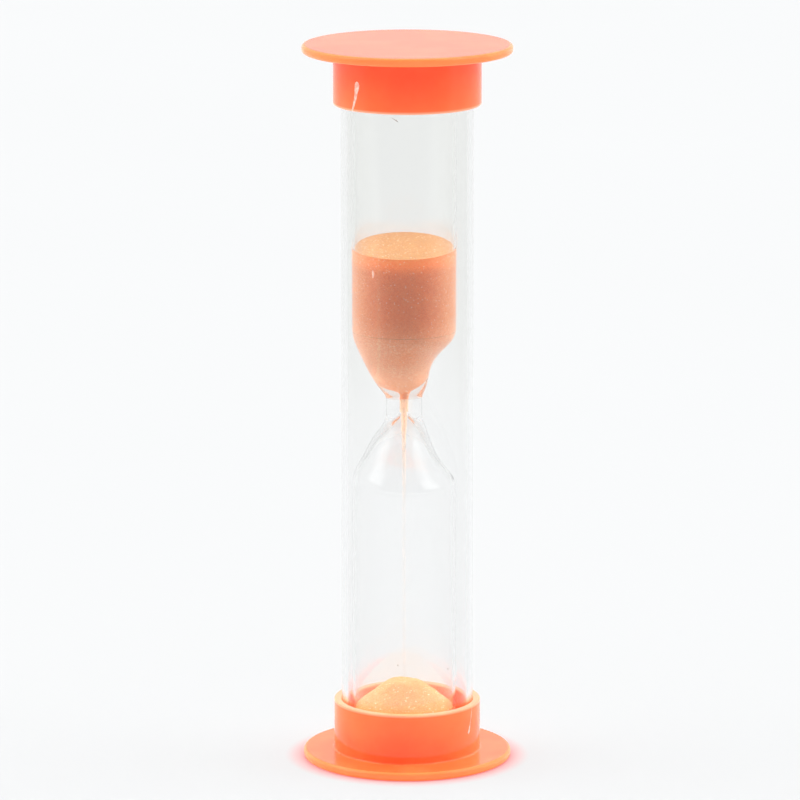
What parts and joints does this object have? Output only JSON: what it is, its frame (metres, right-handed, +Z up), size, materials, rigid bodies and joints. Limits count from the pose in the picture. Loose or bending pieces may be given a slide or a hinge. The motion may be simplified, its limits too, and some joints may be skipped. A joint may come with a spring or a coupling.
{
  "type": "hourglass",
  "caption": "Small hourglass timer: a glass bulb with dyed sand in a clear sleeve between two flanged plastic caps.",
  "frame": {"origin": "Centre of the lower cap's bottom face, on the axis of the two caps.", "axes": "+Z up along the axis of the caps and sleeve. The glass axis lies 0.4 mm to the -X side of it."},
  "size_m": [0.026, 0.026, 0.09],
  "materials": {
    "cap_plastic": "glossy injection-moulded orange plastic",
    "clear_sleeve": "clear extruded plastic tube",
    "glass": "clear drawn glass",
    "rubber": "soft white rubber",
    "sand": "loose fine dyed grains"
  },
  "bodies": {
    "timer": {"bottom_cap": "cap_plastic", "top_cap": "cap_plastic", "outer_sleeve": "clear_sleeve", "bottom_rubber_disc": "rubber", "top_rubber_disc": "rubber", "glass_bulb": "glass", "filling_stopper": "rubber", "funnel_sand": "sand", "sand_stream": "sand", "lower_sand_bed": "sand"},
    "falling_level": {"upper_sand": "sand"},
    "rising_heap": {"sand_heap": "sand"}
  },
  "joints": [
    {"name": "upper_sand_fall", "type": "slide", "parent": "timer", "child": "falling_level", "axis": [0, 0, -1], "range_m": [-0.002, 0.0095], "deforming": ["upper_sand"]},
    {"name": "heap_rise", "type": "slide", "parent": "timer", "child": "rising_heap", "axis": [0, 0, 1], "range_m": [-0.002, 0.0095], "deforming": ["lower_sand_bed", "sand_stream"]}
  ],
  "couplings": [
    {"joint": "heap_rise", "follows": "upper_sand_fall", "ratio": 1}
  ]
}
